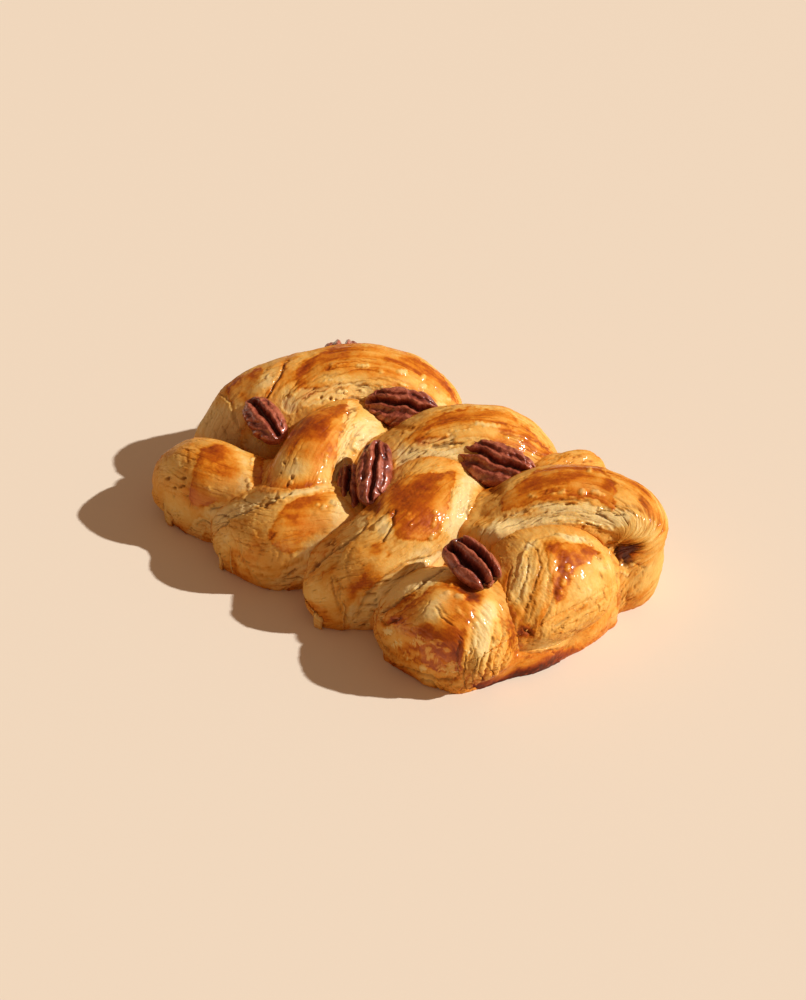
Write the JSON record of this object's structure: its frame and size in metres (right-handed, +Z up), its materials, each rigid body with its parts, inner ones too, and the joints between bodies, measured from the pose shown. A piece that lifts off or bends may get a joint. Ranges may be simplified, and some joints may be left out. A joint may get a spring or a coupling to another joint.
{
  "type": "pecan plait",
  "caption": "Braided pastry of flaky golden dough with a part-glazed crust, a flat base and toasted pecan pieces baked into its top.",
  "frame": {"origin": "under the middle of the plait, on the plane of its flat base", "axes": "+X along the plait, +Y across it, +Z up out of its base"},
  "size_m": [0.1422, 0.0946, 0.0371],
  "materials": {
    "crust": "golden brown flaky crust, glazed on its crests",
    "pecan": "dark red-brown toasted nut with a syrup shine"
  },
  "bodies": {
    "root": {"plait": "crust", "pecan_1": "pecan", "pecan_2": "pecan", "pecan_3": "pecan", "pecan_4": "pecan", "pecan_5": "pecan", "pecan_6": "pecan", "pecan_7": "pecan"}
  },
  "joints": []
}
